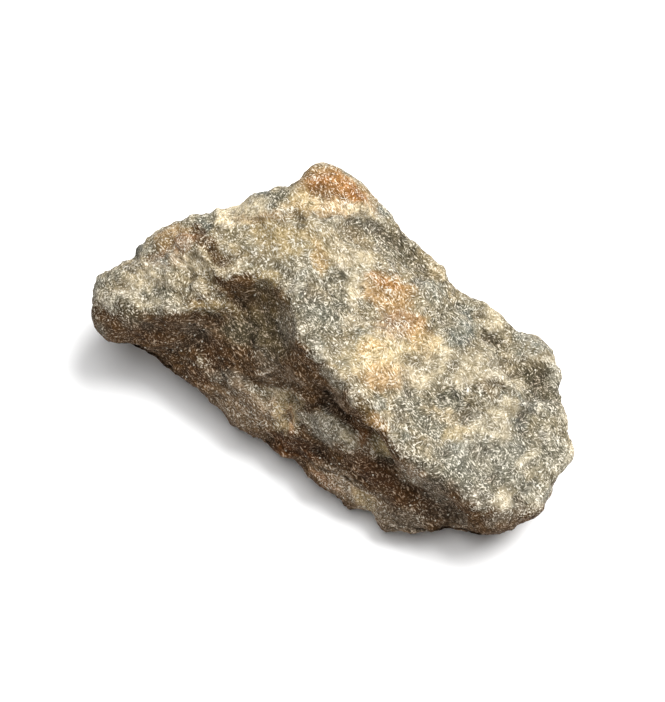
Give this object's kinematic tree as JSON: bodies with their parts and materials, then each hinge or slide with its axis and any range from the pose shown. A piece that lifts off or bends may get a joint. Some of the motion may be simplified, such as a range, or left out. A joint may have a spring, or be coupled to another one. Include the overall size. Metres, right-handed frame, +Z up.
{
  "type": "lunar meteorite",
  "caption": "Broken wedge of grey-brown lunar breccia with a long speckled slope, a steep hollowed front and a low shoulder, lying on a flat spot; for display or study.",
  "frame": {"origin": "centre of the bounding box in plan, on the surface that the stone rests on", "axes": "+X along its length, towards the end opposite the low shoulder; +Z up; +Y towards the hidden back"},
  "size_m": [0.0502, 0.0308, 0.0191],
  "materials": {
    "breccia": "rough broken stone with pale mineral grains"
  },
  "bodies": {
    "root": {"meteorite": "breccia"}
  },
  "joints": []
}
